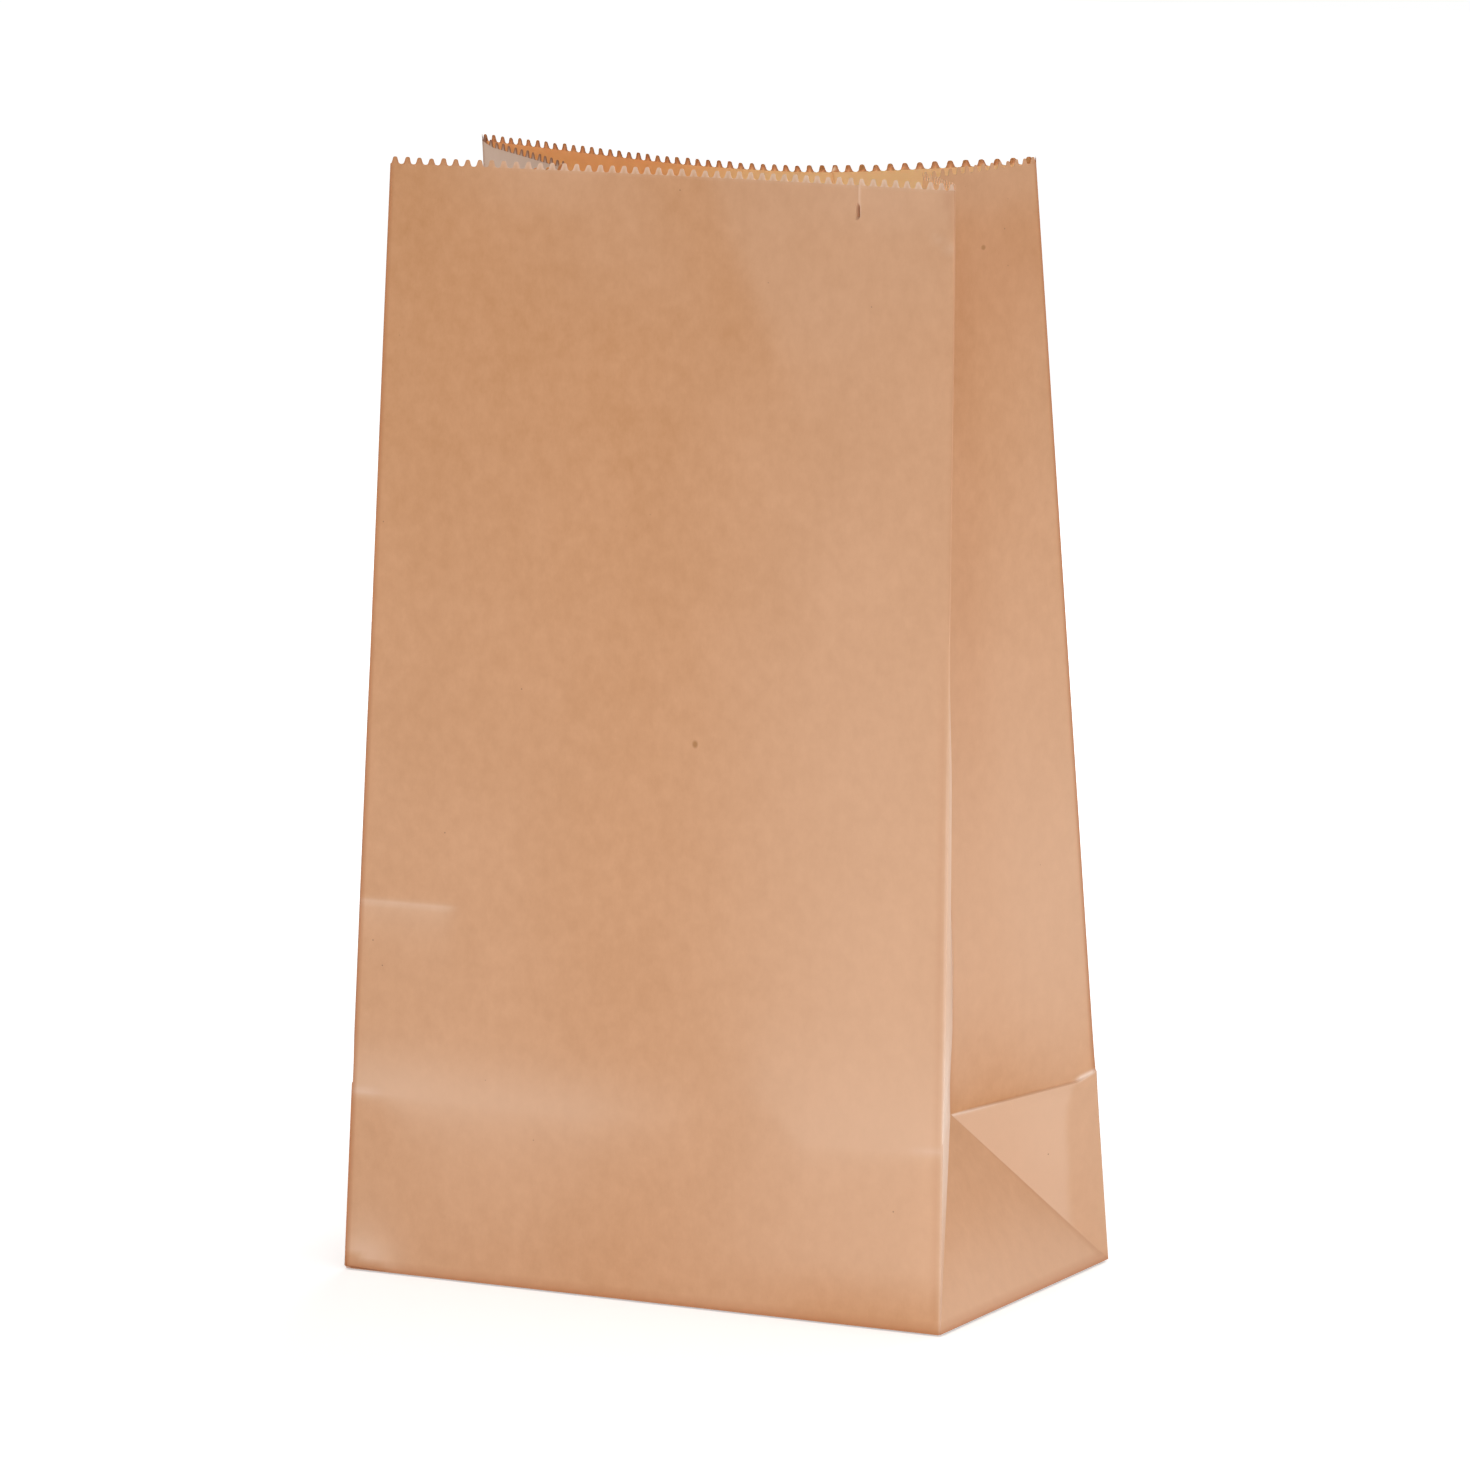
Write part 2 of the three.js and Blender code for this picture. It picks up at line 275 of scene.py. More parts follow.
def wide_panel(start, end, lean, bow, bow_at):
    """The front or the back: flat at the base, and bowed in towards the mouth, where it stands lower for that."""
    def at(share, z):
        towards_bow = share / bow_at if share < bow_at else (1 - share) / (1 - bow_at)
        depth = bow * math.sin(math.pi / 2 * towards_bow)
        sag = ((lean + depth) ** 2 - lean ** 2) / (2 * HEIGHT)
        up = z / HEIGHT
        point = start(z) + (end(z) - start(z)) * share + depth * up * inward(start(z), end(z))
        return np.array([point[0], point[1], z - sag * up])
    return at


def half_gusset(start, end, nearness, crease_dip, mouth_dip, slack=0.0, tuck=0.0):
    """Half a side: straight in plan, with its crease and its mouth dipping towards the centre fold.

    slack is how much lower the mouth stands at the centre fold, and tuck how much lower between the folds,
    where the half is tucked in behind the front.
    """
    def at(share, z):
        point = start(z) + (end(z) - start(z)) * share
        near = nearness(share)
        lower = slack * min(1.0, 8 * near) + tuck * (1 - (2 * near - 1) ** 4)
        dip = crease_dip * near + (mouth_dip * near + lower - crease_dip * near) * rise(z)
        return np.array([point[0], point[1], z - dip])
    return at


front = wide_panel(front_left, front_right, FRONT_LEAN, FRONT_BOW, FRONT_BOW_AT)
right_dips = (RIGHT_CREASE_DIP, RIGHT_MOUTH_DIP)
right_front = half_gusset(front_right, right_fold, lambda share: share, *right_dips)
right_rear = half_gusset(right_fold, back_right, lambda share: 1 - share, *right_dips)
back = wide_panel(back_right, back_left, BACK_LEAN, BACK_BOW, 1 - BACK_BOW_AT)
left_dips = (FOLD_DIP, MOUTH_DIP)
left_rear = half_gusset(back_left, left_fold, lambda share: share, *left_dips, LEFT_SLACK)
left_front = half_gusset(left_fold, front_left, lambda share: 1 - share, *left_dips, LEFT_SLACK, LEFT_TUCK)
panels = (front, right_front, right_rear, back, left_rear, left_front)
panel_widths = (WIDTH, half_d, half_d, WIDTH, half_d, half_d)
panel_teeth = (PANEL_TEETH, HALF_TEETH, HALF_TEETH, PANEL_TEETH, HALF_TEETH, HALF_TEETH)
FRONT, RIGHT_FRONT, RIGHT_REAR, BACK, LEFT_REAR, LEFT_FRONT = range(6)

# Columns of points round the tube: two to a tooth, and a few close by each fold to round it.
BESIDE_FOLD = (0.3, 0.75)
SEAM_FROM_RIGHT = 24.0
SEAM_WIDTH = 18.0
SEAM_EDGE = SEAM_FROM_RIGHT + SEAM_WIDTH
SEAM_DROP = 0.12
SLIT_AT = 123.2 / WIDTH
BY_KINK = (2.3, 3.8, 5.3)


def column_shares(panel):
    teeth, width = panel_teeth[panel], panel_widths[panel]
    shares = {round(i / (2 * teeth), 6) for i in range(2 * teeth)}
    for gap in BESIDE_FOLD:
        shares |= {round(gap / width, 6), round(1 - gap / width, 6)}
    if panel == RIGHT_REAR:
        shares |= {round(1 - gap / width, 6) for gap in BY_KINK}
    # The base joins the front's columns to the back's, so each has a place for the slit and for the seam's edge.
    if panel in (FRONT, BACK):
        placed = {SLIT_AT, 1 - SEAM_EDGE / WIDTH, 1 - (SEAM_EDGE + SEAM_DROP) / WIDTH}
        shares |= {round(share if panel == FRONT else 1 - share, 6) for share in placed}
    return sorted(shares)


columns = [(panel, share) for panel in range(6) for share in column_shares(panel)]
panel_start = [min(i for i, c in enumerate(columns) if c[0] == p) for p in range(6)] + [len(columns)]


def stepped(*runs):
    """Heights from run to run, each (up to, step)."""
    heights = [runs[0]]
    for top, step in runs[1:]:
        count = max(1, round((top - heights[-1]) / step))
        heights += list(np.linspace(heights[-1], top, count + 1)[1:])
    return heights


upper_heights = stepped(CREASE, (CREASE + 1.2, 0.4), (56, 1.2), (78, 2.4), (88, 0.7), (222, 4.0), (238, 2.0),
                        (TOOTH_FOOT, 0.75))
foot_steps = [z / CREASE for z in stepped(0.0, (1.0, 0.35), (CREASE - 8, 1.7), (CREASE - 1.2, 0.9), (CREASE, 0.4))]


def swell(value, middle, reach):
    """A smooth bump of height 1."""
    return math.exp(-((value - middle) / reach) ** 2)


def ease(value, low, high):
    share = min(1.0, max(0.0, (value - low) / (high - low)))
    return share * share * (3 - 2 * share)


# How wide each upright fold is rounded at a height. They are sharp below and spring open at the mouth.
def fold_round(fold, z):
    opening = {FRONT: 0.1, RIGHT_FRONT: 1.4, RIGHT_REAR: 1.6, BACK: 0.1, LEFT_REAR: 0.1, LEFT_FRONT: 1.6}
    return 0.5 + opening[fold] * ease(z, 205, 250) ** 1.5


# The paper's own unevenness, out from the panel: slow waves, and the shapes that folding flat left in it.
# Each is worked out at u along the panel and z above the floor.
def slow_waves(u, z, lengths, phase):
    along, up, skew = lengths
    return math.sin(u / along + z / up + phase) * math.sin(z / skew - u / (3 * along) + 2 * phase)


# The front's crease is crisp by the folds, soft between them, and lost in the middle, where the paper sprang flat.
# Each row is a place along the front, the height of the crease's lower edge, how softly it ends, and how strong it is.
FRONT_CREASE = np.array((
    (0.0, 40.2, 1.0, 1.0),
    (8.0, 40.4, 1.8, 1.0),
    (14.0, 40.4, 4.5, 1.0),
    (26.0, 40.2, 8.5, 0.85),
    (60.0, 40.0, 10.0, 0.8),
    (90.0, 42.0, 10.0, 0.1),
    (100.0, 50.0, 8.0, 0.1),
    (106.0, 48.0, 6.0, 0.35),
    (116.0, 39.4, 4.5, 0.5),
    (136.0, 39.6, 2.8, 0.55),
    (150.0, 40.2, 1.4, 0.6),
))
PRESS_AT = 83.9
PRESS_END = 25.5
CORNER_ALONG = 13.0
CORNER_UP = 3.6


def front_crease(u):
    """The lower edge of the front's crease at u, how softly it ends, and its strength."""
    return [float(np.interp(u, FRONT_CREASE[:, 0], FRONT_CREASE[:, k])) for k in (1, 2, 3)]


def press_mark(u, z, above, below):
    """1 just under the line that the base's edge pressed into the front when the bag lay flat, and less further off."""
    under = PRESS_AT - z
    near = math.exp(-under / below) if under > 0 else math.exp(under / above)
    return near * (1 - ease(u, PRESS_END - 5, PRESS_END + 1.5))


def past_corner(u, z):
    """Below 0 on the small facet that the foot's left corner is dented to, and above 0 beyond it."""
    return u / CORNER_ALONG + z / CORNER_UP - 1


def front_relief(u, z):
    off_folds = ease(u, 0, 9) * ease(WIDTH - u, 0, 9)
    waves = 0.24 * slow_waves(u, z, (17.0, 41.0, 29.0), 0.6) + 0.15 * slow_waves(u, z, (9.5, -23.0, 61.0), 1.1)
    edge, softness, strength = front_crease(u)
    above = z - edge
    ridge = 0.5 * strength * (math.exp(-above / 11.0) if above > 0 else math.exp(above / (2.5 + softness)))
    belly = 0.8 * swell(z, 16, 26) * swell(u, 122, 40) * ease(z, 0, 12)
    press = -0.3 * press_mark(u, z, 0.5, 7.0) * ease(u, 0, 3)
    dent = 0.5 * min(0.0, past_corner(u, z))
    # The fold on the right springs open above a slanting pale crease near the mouth.
    spring = -0.5 * ease(z, 232, 248) * swell(u, WIDTH - 6.0, 5.0)
    return off_folds * (waves * ease(z, 2, 30) + ridge + belly) + press + dent + spring


# By the back right corner of the foot the paper has a soft upright bend. Above it the crease is kinked: its end
# turns up to the fold, with a painted highlight along it.
BEND_AT = 11.3
KINK_LENGTH = 6.2
KINK_UP = 1.7


def kink_lift(w, z):
    """How far the kink has lifted the paper along the wall, at w from the back right fold."""
    return KINK_UP * max(0.0, 1 - w / KINK_LENGTH) * math.exp(-abs(z - CREASE) / 4.5)


def on_kink(w, z, reach):
    """1 along the kinked end of the crease, and 0 beyond its reach."""
    return math.exp(-((z - CREASE) / reach) ** 2) * (1 - ease(w, KINK_LENGTH - 1.6, KINK_LENGTH + 0.4))


def bend_at(z):
    """The bend's distance from the back right fold: it starts at the kink and turns upright below it."""
    return BEND_AT - (BEND_AT - KINK_LENGTH) * math.exp((z - CREASE) / 3.5)


def gusset_relief(w, z, rear):
    """Half a side, at w from the front or the back. The front half stands out a little where its fold is worn."""
    off_folds = ease(w, 0, 5) * ease(half_d - w, 0, 7)
    waves = 0.18 * slow_waves(w, z, (15.0, 27.0, 37.0), 1.0)
    tuck = -0.6 * math.exp(-max(0.0, z - CREASE) / 8.0) if rear else 0.0
    kink = 0.45 * on_kink(w, z, 0.8) * ease(w, 0, 1.5) if rear else 0.0
    centre = 1.6 * swell(z, 82, 34) * ease(z, CREASE, CREASE + 20) * w / half_d
    worn = 0.0 if rear else 0.8 * swell(w, 3.0, 2.4) * (1 - ease(z, 118, 155)) * ease(z, CREASE, CREASE + 12)
    return off_folds * (waves * ease(z, CREASE, CREASE + 15) + tuck) + centre + worn + kink


def back_relief(u, z):
    off_folds = ease(u, 0, 9) * ease(WIDTH - u, 0, 9)
    waves = 0.26 * slow_waves(u, z, (19.0, -47.0, 33.0), 0.9) + 0.14 * slow_waves(u, z, (11.0, 27.0, 71.0), 0.3)
    lap = PAPER * ease(u, SEAM_FROM_RIGHT - 4.0, SEAM_FROM_RIGHT) if u < SEAM_EDGE + 0.01 else 0.0
    ridge = 0.6 * math.exp(-abs(z - CREASE) / (10.0 if z > CREASE else 4.0))
    return off_folds * (waves * ease(z, 2, 30) + ridge) + lap


def bent_triangle(w, z, width):
    """The triangle beside the back right corner: its relief, its painted light, its painted highlights along the kink
    and the crease, and no painted shade.
    """
    relief = 0.0
    bend = bend_at(z)
    if width > 1.5 * BEND_AT:
        side = w / bend if w < bend else (width - w) / (width - bend)
        relief += 0.9 * side * ease(width, 1.5 * BEND_AT, 2.2 * BEND_AT) * ease(CREASE - z, 0, 3)
        relief += 0.45 * on_kink(w, z, 0.8) * ease(w, 0, 1.5)
    pale = 0.46 + 0.27 * ease(w, bend - 1.5 - 0.04 * (CREASE - z), bend + 0.8) - 0.06 * ease(w, 15, 30)
    line = 0.8 * (1 - ease(CREASE - z, 0.2, 1.0)) * ease(w, 24, 38)
    return relief, pale, max(0.95 * on_kink(w, z, 0.5), line), 0.0


def flat_triangle(w, z, width):
    return 0.0, 0.45, 0.0, 0.0


def worn_triangle(w, z, width):
    """The triangle beside the front right corner: painted light and painted sheen, stronger higher up, where it is seen
    at a grazing angle.
    """
    return 0.0, 0.3 + 0.4 * ease(z, 8, 34), 0.12 + 0.48 * ease(z, 14, 38), 0.0


BASE_STEPS = 24
BESIDE_CORNER = 0.5
base_shares = sorted([*(i / BASE_STEPS for i in range(1, BASE_STEPS)),
                      BESIDE_CORNER / DEPTH, 1 - BESIDE_CORNER / DEPTH])


def standing_triangle(w, z, width):
    """The triangle that stands on the side of the base, at w from the front corner: painted light, stronger low down,
    and painted shade by its far corner.
    """
    by_fold = 0.2 * ease(w, DEPTH - 2 * BESIDE_CORNER, DEPTH - BESIDE_CORNER)
    return 0.0, 0.20 + 0.26 * (1 - ease(z, 3, 26)), 0.0, by_fold


def relief_at(panel, share, z):
    u = share * panel_widths[panel]
    if panel == FRONT:
        return front_relief(u, z)
    if panel == BACK:
        return back_relief(u, z)
    if panel in (RIGHT_REAR, LEFT_REAR):
        w = half_d - u if panel == RIGHT_REAR else u
        return gusset_relief(w, z, True)
    return gusset_relief(u if panel == RIGHT_FRONT else half_d - u, z, False)


# How much painted light, painted sheen and highlight (with some rubbed fibres), and painted shade the paper carries at
# a place, each from 0 to 1.
def front_pale(u, z):
    """Painted light: paler to the right and low down, painted highlights where the crease and the press mark bent the
    paper, and painted shade at the foot.
    """
    low = 1 - ease(z, 60, 235)
    broad = 0.235 * low * (1 - 0.4 * swell(u, 78, 28)) + 0.23 * ease(u, 55, 140)
    broad += 0.12 * swell(u, 62, 30) * ease(z, 205, 236) + 0.05 * ease(u, 105, 128) * ease(z, 212, 232)
    broad += 0.14 * ease(z, 234, 247) * (swell(u, 36, 20) + 0.8 * ease(u, 85, 125))
    # A painted highlight on a shallow facet that slants down from the mouth, right of the middle.
    off_facet = u - 84 - 0.53 * (244 - z)
    facet = 0.10 * ease(off_facet, -3, 5) * (1 - ease(off_facet, 12, 40)) - 0.06 * swell(off_facet, -8, 8)
    facet *= ease(z, 195, 225)
    edge, softness, strength = front_crease(u)
    above = z - edge
    reach = 10.0 + 12.0 * ease(u, 90, 125)
    band = (0.42 - 0.10 * ease(u, 80, 110)) * strength
    band *= math.exp(-((above / reach) ** 2)) if above > 0 else math.exp(above / softness)
    # The press line and the dent at the foot's left corner carry painted highlights.
    press = 0.32 * press_mark(u, z, 0.5, 5.0)
    corner = 0.55 * ease(past_corner(u, z), -0.1, 0.2) * swell(u, 5, 8) * math.exp(-max(0.0, z - 5) / 5)
    # Painted shade near the foot, most at the right.
    foot_shade = 1 - (1 - ease(z, 0, 16)) * (0.12 * ease(u, 20, 45) + 0.68 * ease(u, 88, 125))
    return (broad + facet + band + press) * foot_shade + corner


# Painted light for each panel, stronger low down. On the right side it is held back by painted shade just above the
# crease, and it lifts the shaded wedge of the left side at the mouth. The back's seam is a little paler where it is
# pasted.
def pale_at(panel, share, z):
    u = share * panel_widths[panel]
    low = 1 - ease(z, 60, 235)
    if panel == FRONT:
        return front_pale(u, z)
    if panel == RIGHT_REAR:
        w = half_d - u
        shade = math.exp(-max(0.0, z - CREASE) / 13.0) * (0.55 + 0.38 * ease(w, 8, 30))
        across = 0.06 * (1 - ease(w, 3, 22)) * ease(z, 150, 190) * (1 - ease(z, 205, 235))
        across -= 0.05 * ease(w, 18, 32)
        return max(0.0, (0.05 + 0.52 * low + across) * (1 - shade) + 0.16 * ease(z, 234, 246))
    if panel == RIGHT_FRONT:
        return 0.25 + 0.5 * low
    if panel == LEFT_REAR:
        return 0.2 * low + 0.9 * ease(z, 234, 246)
    if panel == BACK:
        return 0.2 * low + 0.14 * ease(u, SEAM_FROM_RIGHT - 6, SEAM_FROM_RIGHT) * (u < SEAM_EDGE + 0.01)
    return 0.2 * low


def inner_pale_at(panel, share, z):
    """Painted light inside: the inside of the back is painted lighter at the mouth to the right, and deeper at the
    left, where shade falls.
    """
    mouth = {BACK: 1 - ease(share * WIDTH, 55, 98), RIGHT_FRONT: 0.9, RIGHT_REAR: 0.9}.get(panel, 0.0)
    return 0.35 + (mouth - 0.35) * ease(z, 222, 242)


def rubbed_at(panel, share, z):
    """Painted sheen and highlights: by the front right fold and on the right side's front half, seen at a grazing
    angle, along the crease, the press line and the slanting crease, on the kink and on the left side's wedge; and paler
    front teeth.
    """
    u = share * panel_widths[panel]
    if panel == FRONT:
        teeth = 0.5 * ease(z, TOOTH_FOOT - 0.5, HEIGHT) * ease(u, 20, 40)
        line = 0.25 * swell(z, front_crease(u)[0] + 0.4, 0.8)
        line *= 1 - ease(u, 3, 10) + 0.7 * ease(u, WIDTH - 10, WIDTH - 3)
        slant = 0.14 * swell(z - 0.54 * (WIDTH - u), 235.2, 1.1) * ease(u, WIDTH - 9, WIDTH - 3)
        worn = 0.3 * (1 - ease(WIDTH - u, 0.2, 0.8)) * (1 - ease(z, 112, 150))
        press = 0.16 * swell(z, PRESS_AT - 0.4, 0.6) * (1 - ease(u, PRESS_END - 3, PRESS_END))
        return max(teeth, line, slant, worn, press)
    if panel == RIGHT_FRONT:
        return (0.10 + 0.68 * (1 - ease(z, 44, 78))) * (1 - ease(z, 108, 150))
    if panel == RIGHT_REAR:
        w = half_d - u
        return 0.95 * on_kink(w, z, 0.5)
    if panel == LEFT_REAR:
        return 0.5 * ease(z, 236, 246)
    return 0.0


# How strong the painted shade is along the fold at each panel's start and end, and how far in from the fold it reaches
# in mm.
HARD_FOLDS = {FRONT: (0.85, 0.0), RIGHT_FRONT: (0.0, 0.2), RIGHT_REAR: (0.25, 1.0), BACK: (0.7, 0.8),
              LEFT_REAR: (0.8, 0.3), LEFT_FRONT: (0.3, 0.7)}
FOLD_LINE = 1.6


def burnished_at(panel, share, z):
    """Painted shade, redder and darker: along the folds, at the foot's edge, beside the front right fold, in the
    hollows at the mouth, by the right side's centre fold, at the seam's edge and on the back's teeth.
    """
    width = panel_widths[panel]
    u = share * width
    start, end = HARD_FOLDS[panel]
    marks = [start * (1 - u / FOLD_LINE), end * (1 - (width - u) / FOLD_LINE), 0.75 * (1 - z / 1.6), 0.0]
    if panel == FRONT:
        marks.append(0.12 * swell(WIDTH - u, 1.4, 0.45) * (1 - ease(z, 130, 160)))
        marks.append(0.5 * ease(z, TOOTH_FOOT, HEIGHT) * (1 - ease(u, 12, 26)))
        marks.append(0.3 * (1 - (WIDTH - u) / 0.9) * ease(z, 140, 175))
        # Painted shade in the sprung corner of the mouth, beyond the slanting crease.
        marks.append(0.14 * ease(0.39 * (z - 236) - (WIDTH - u), -0.6, 1.2) * (z > 236))
    if panel == RIGHT_FRONT:
        marks.append(0.3 * (1 - u / 3.0) * ease(z, 140, 175))
    if panel == RIGHT_REAR:
        by_centre = 0.07 * ease(width - u, 22, 33) * ease(z, 90, 150) * (1 - ease(z, 215, 240))
        marks.append(0.14 * swell(z, 226, 16) + by_centre)
    if panel == BACK:
        marks.append(0.3 * swell(u, SEAM_EDGE + SEAM_DROP, 0.5))
    if panel in (BACK, LEFT_REAR):
        marks.append(0.95 * ease(z, TOOTH_FOOT - 0.3, HEIGHT))
    return max(marks)


def soiled_at(panel, share, z):
    """Deeper painted shade on the tips of the back's teeth, seen from inside."""
    return 0.6 * ease(z, TOOTH_FOOT, HEIGHT) if panel in (BACK, LEFT_REAR) else 0.0


class FoldedSheet:
    """Points and faces of the paper's outer side, with what each point carries."""

    def __init__(self):
        self.points, self.relief, self.faces = [], [], []
        self.marks = {"pale": [], "rubbed": [], "burnished": [], "soiled": [], "inner_pale": []}

    def point(self, position, relief=0.0, **marks):
        self.points.append(np.asarray(position, float))
        self.relief.append(relief)
        for name, values in self.marks.items():
            values.append(marks.get(name, 0.0))
        return len(self.points) - 1

    def on_panel(self, panel, share, z, position, relief=None):
        return self.point(
            position,
            relief_at(panel, share, z) if relief is None else relief,
            pale=pale_at(panel, share, z),
            rubbed=rubbed_at(panel, share, z),
            burnished=burnished_at(panel, share, z),
            soiled=soiled_at(panel, share, z),
            inner_pale=inner_pale_at(panel, share, z),
        )

    def on_foot(self, triangle, w, z, width, position):
        """A point of one of a side's foot triangles, at w from the corner's fold."""
        relief, pale, rubbed, burnished = triangle(w, z, width)
        # Painted shade along the foot's edge.
        burnished = max(burnished, 0.75 * (1 - z / 1.6))
        return self.point(position, relief, pale=pale, rubbed=rubbed, burnished=burnished, inner_pale=0.35)

    def face(self, *corners):
        ring = [c for i, c in enumerate(corners) if c != corners[i - 1]]
        if len(ring) > 2:
            self.faces.append(ring)

    def grid(self, rows):
        for lower, upper in zip(rows, rows[1:]):
            for i in range(len(lower) - 1):
                self.face(lower[i], lower[i + 1], upper[i + 1], upper[i])


def rounded_ring(z):
    """The outline of the tube at a height, with its folds rounded."""
    ring = [panels[panel](share, z) for panel, share in columns]
    for fold in range(6):
        reach = fold_round(fold, z)
        before, after = (fold - 1) % 6, fold
        start = panels[before](1 - reach / panel_widths[before], z)
        corner = panels[after](0.0, z)
        end = panels[after](reach / panel_widths[after], z)
        for i in range(panel_start[before], panel_start[after + 1]) if fold else [
                *range(panel_start[5], panel_start[6]), *range(panel_start[0], panel_start[1])]:
            panel, share = columns[i]
            gap = share * panel_widths[panel] if panel == after else -(1 - share) * panel_widths[panel]
            if abs(gap) < reach:
                t = (gap + reach) / (2 * reach)
                ring[i] = (1 - t) ** 2 * start + 2 * t * (1 - t) * corner + t * t * end
    for i, (panel, share) in enumerate(columns):
        if panel in (RIGHT_REAR, BACK):
            ring[i][2] += kink_lift((1 - share) * half_d if panel == RIGHT_REAR else share * WIDTH, z)
    return ring


tube = FoldedSheet()

upper = []
for z in upper_heights:
    ring = rounded_ring(z)
    upper.append([tube.on_panel(panel, share, z, ring[i]) for i, (panel, share) in enumerate(columns)])
for row in upper:
    row.append(row[0])

# The foot of the front and of the back, down to the corners of the base.
foot = {}
for panel in (FRONT, BACK):
    span = [columns[i] for i in range(panel_start[panel], panel_start[panel + 1])] + [(panel, 1.0)]
    rows = []
    for step in foot_steps[:-1]:
        z = CREASE * step
        row = []
        for _, share in span:
            position = panels[panel](share, z)
            position[2] = WALL_FOOT + position[2] * (CREASE - WALL_FOOT) / CREASE
            position[2] += kink_lift(share * WIDTH, z) * ease(z, 0, 20) if panel == BACK else 0.0
            row.append(tube.on_panel(panel, share, z, position))
        rows.append(row)
    rows.append(upper[0][panel_start[panel]:panel_start[panel + 1] + 1])
    foot[panel] = rows
    tube.grid(rows)

# The sides' three triangles below the crease: a fan from each corner, and one that stands on the base's side.
base_sides = []
for near, far, front_half, near_form, far_form in (
        (FRONT, BACK, RIGHT_FRONT, worn_triangle, bent_triangle),
        (BACK, FRONT, LEFT_REAR, flat_triangle, flat_triangle)):
    rear_half = front_half + 1
    near_edge = [row[-1] for row in foot[near]]
    far_edge = [row[0] for row in foot[far]]
    crease_row = upper[0]
    first = panel_start[front_half]
    middle = panel_start[rear_half]
    last = panel_start[rear_half + 1]
    near_corner, far_corner = tube.points[near_edge[0]], tube.points[far_edge[0]]
    valley = tube.points[crease_row[middle]]

    def fan(edge, corner, indices, triangle, shares, away):
        """Lines from the corner to the crease, in step with the edge beside it."""
        lines = []
        for index, share in zip(indices, shares):
            line = []
            for step in foot_steps[1:-1]:
                position = corner + (tube.points[index] - corner) * step
                width = half_d * step
                line.append(tube.on_foot(triangle, away(share) * width, CREASE * step, width, position))
            lines.append([edge[0], *line, index])
        return lines

    near_shares = [columns[i][1] for i in range(first + 1, middle)] + [1.0]
    near_lines = [near_edge] + fan(near_edge, near_corner, crease_row[first + 1:middle + 1], near_form, near_shares,
                                  lambda share: share)
    far_shares = [columns[i][1] for i in range(middle, last)]
    far_lines = fan(far_edge, far_corner, crease_row[middle:last], far_form, far_shares,
                    lambda share: 1 - share) + [far_edge]
    for lines in (near_lines, far_lines):
        tube.grid([list(row) for row in zip(*lines)])

    # The standing triangle narrows from the side of the base to the foot of the centre fold.
    side = [near_edge[0]]
    standing = [near_lines[-1]]
    for share in base_shares:
        start = near_corner + (far_corner - near_corner) * share
        line = []
        for step in foot_steps[:-1]:
            position = start + (valley - start) * step
            line.append(tube.on_foot(standing_triangle, DEPTH * share, CREASE * step, DEPTH, position))
        side.append(line[0])
        standing.append([*line, crease_row[middle]])
    side.append(far_edge[0])
    standing.append(far_lines[0])
    base_sides.append(side)
    tube.grid([list(row) for row in zip(*standing)])

# The base's inmost layer, between the feet of the front and of the back.
front_foot, back_foot = foot[FRONT][0], foot[BACK][0][::-1]
right_side, left_side = base_sides[0], base_sides[1][::-1]
base_rows = [front_foot]
for i, share in enumerate(base_shares, 1):
    row = [left_side[i]]
    for a, b in zip(front_foot[1:-1], back_foot[1:-1]):
        position = tube.points[a] + (tube.points[b] - tube.points[a]) * share
        row.append(tube.point(position, pale=0.1, inner_pale=0.35))
    base_rows.append([*row, right_side[i]])
base_rows.append(back_foot)
tube.grid([row[::-1] for row in base_rows])

# The wall, with the torn slit left open: its two sides part at one column of the front.
SLIT_LENGTH = 7.4
HAIRLINE = 0.15
GAPE_WIDTH = 1.0
GAPE_LENGTH = 3.7
slit_foot = TOOTH_FOOT - SLIT_LENGTH
slit_column = columns.index((FRONT, round(SLIT_AT, 6)))
torn = {}
for row, z in zip(upper, upper_heights):
    if z > slit_foot + 0.1:
        gape = max(0.0, 1 - ((z - slit_foot - GAPE_LENGTH / 2) / (GAPE_LENGTH / 2)) ** 4)
        part = max(HAIRLINE, GAPE_WIDTH * math.sqrt(gape)) / 2
        left = row[slit_column]
        copy = tube.on_panel(FRONT, SLIT_AT, z, tube.points[left])
        step = tube.points[row[slit_column + 1]] - tube.points[row[slit_column - 1]]
        step /= np.linalg.norm(step)
        tube.points[copy] = tube.points[left] + part * step
        tube.points[left] = tube.points[left] - 0.3 * part * step
        # The left lip is pushed in and darkened with painted shade, and the right one stands out with a painted
        # highlight.
        tube.relief[left] -= 1.0 * math.sqrt(gape)
        tube.marks["soiled"][left] = 0.6 * math.sqrt(gape)
        tube.relief[copy] += 0.25 * ease(z, slit_foot, TOOTH_FOOT)
        tube.marks["rubbed"][copy] = 0.3
        torn[left] = copy


def right_of_slit(index):
    return torn.get(index, index)


for lower, higher in zip(upper, upper[1:]):
    for i in range(len(columns)):
        a, b, c, d = lower[i], lower[i + 1], higher[i + 1], higher[i]
        if i == slit_column:
            a, d = right_of_slit(a), right_of_slit(d)
        tube.face(a, b, c, d)

# The teeth: a narrow tip between rounded bottoms, each a little different.
TOOTH_PROFILE = ((0.10, 0.03), (0.20, 0.12), (0.27, 0.46), (0.33, 0.84), (0.41, 0.98), (0.5, 1.0),
                 (0.59, 0.98), (0.67, 0.84), (0.73, 0.46), (0.80, 0.12), (0.90, 0.03))
CORNER_TOOTH = ((0.07, 0.75), (0.14, 0.25), (0.22, 0.04))
draw = np.random.default_rng(7)
tip_ring = rounded_ring(HEIGHT)
tip_ring.append(tip_ring[0])
top = upper[-1]
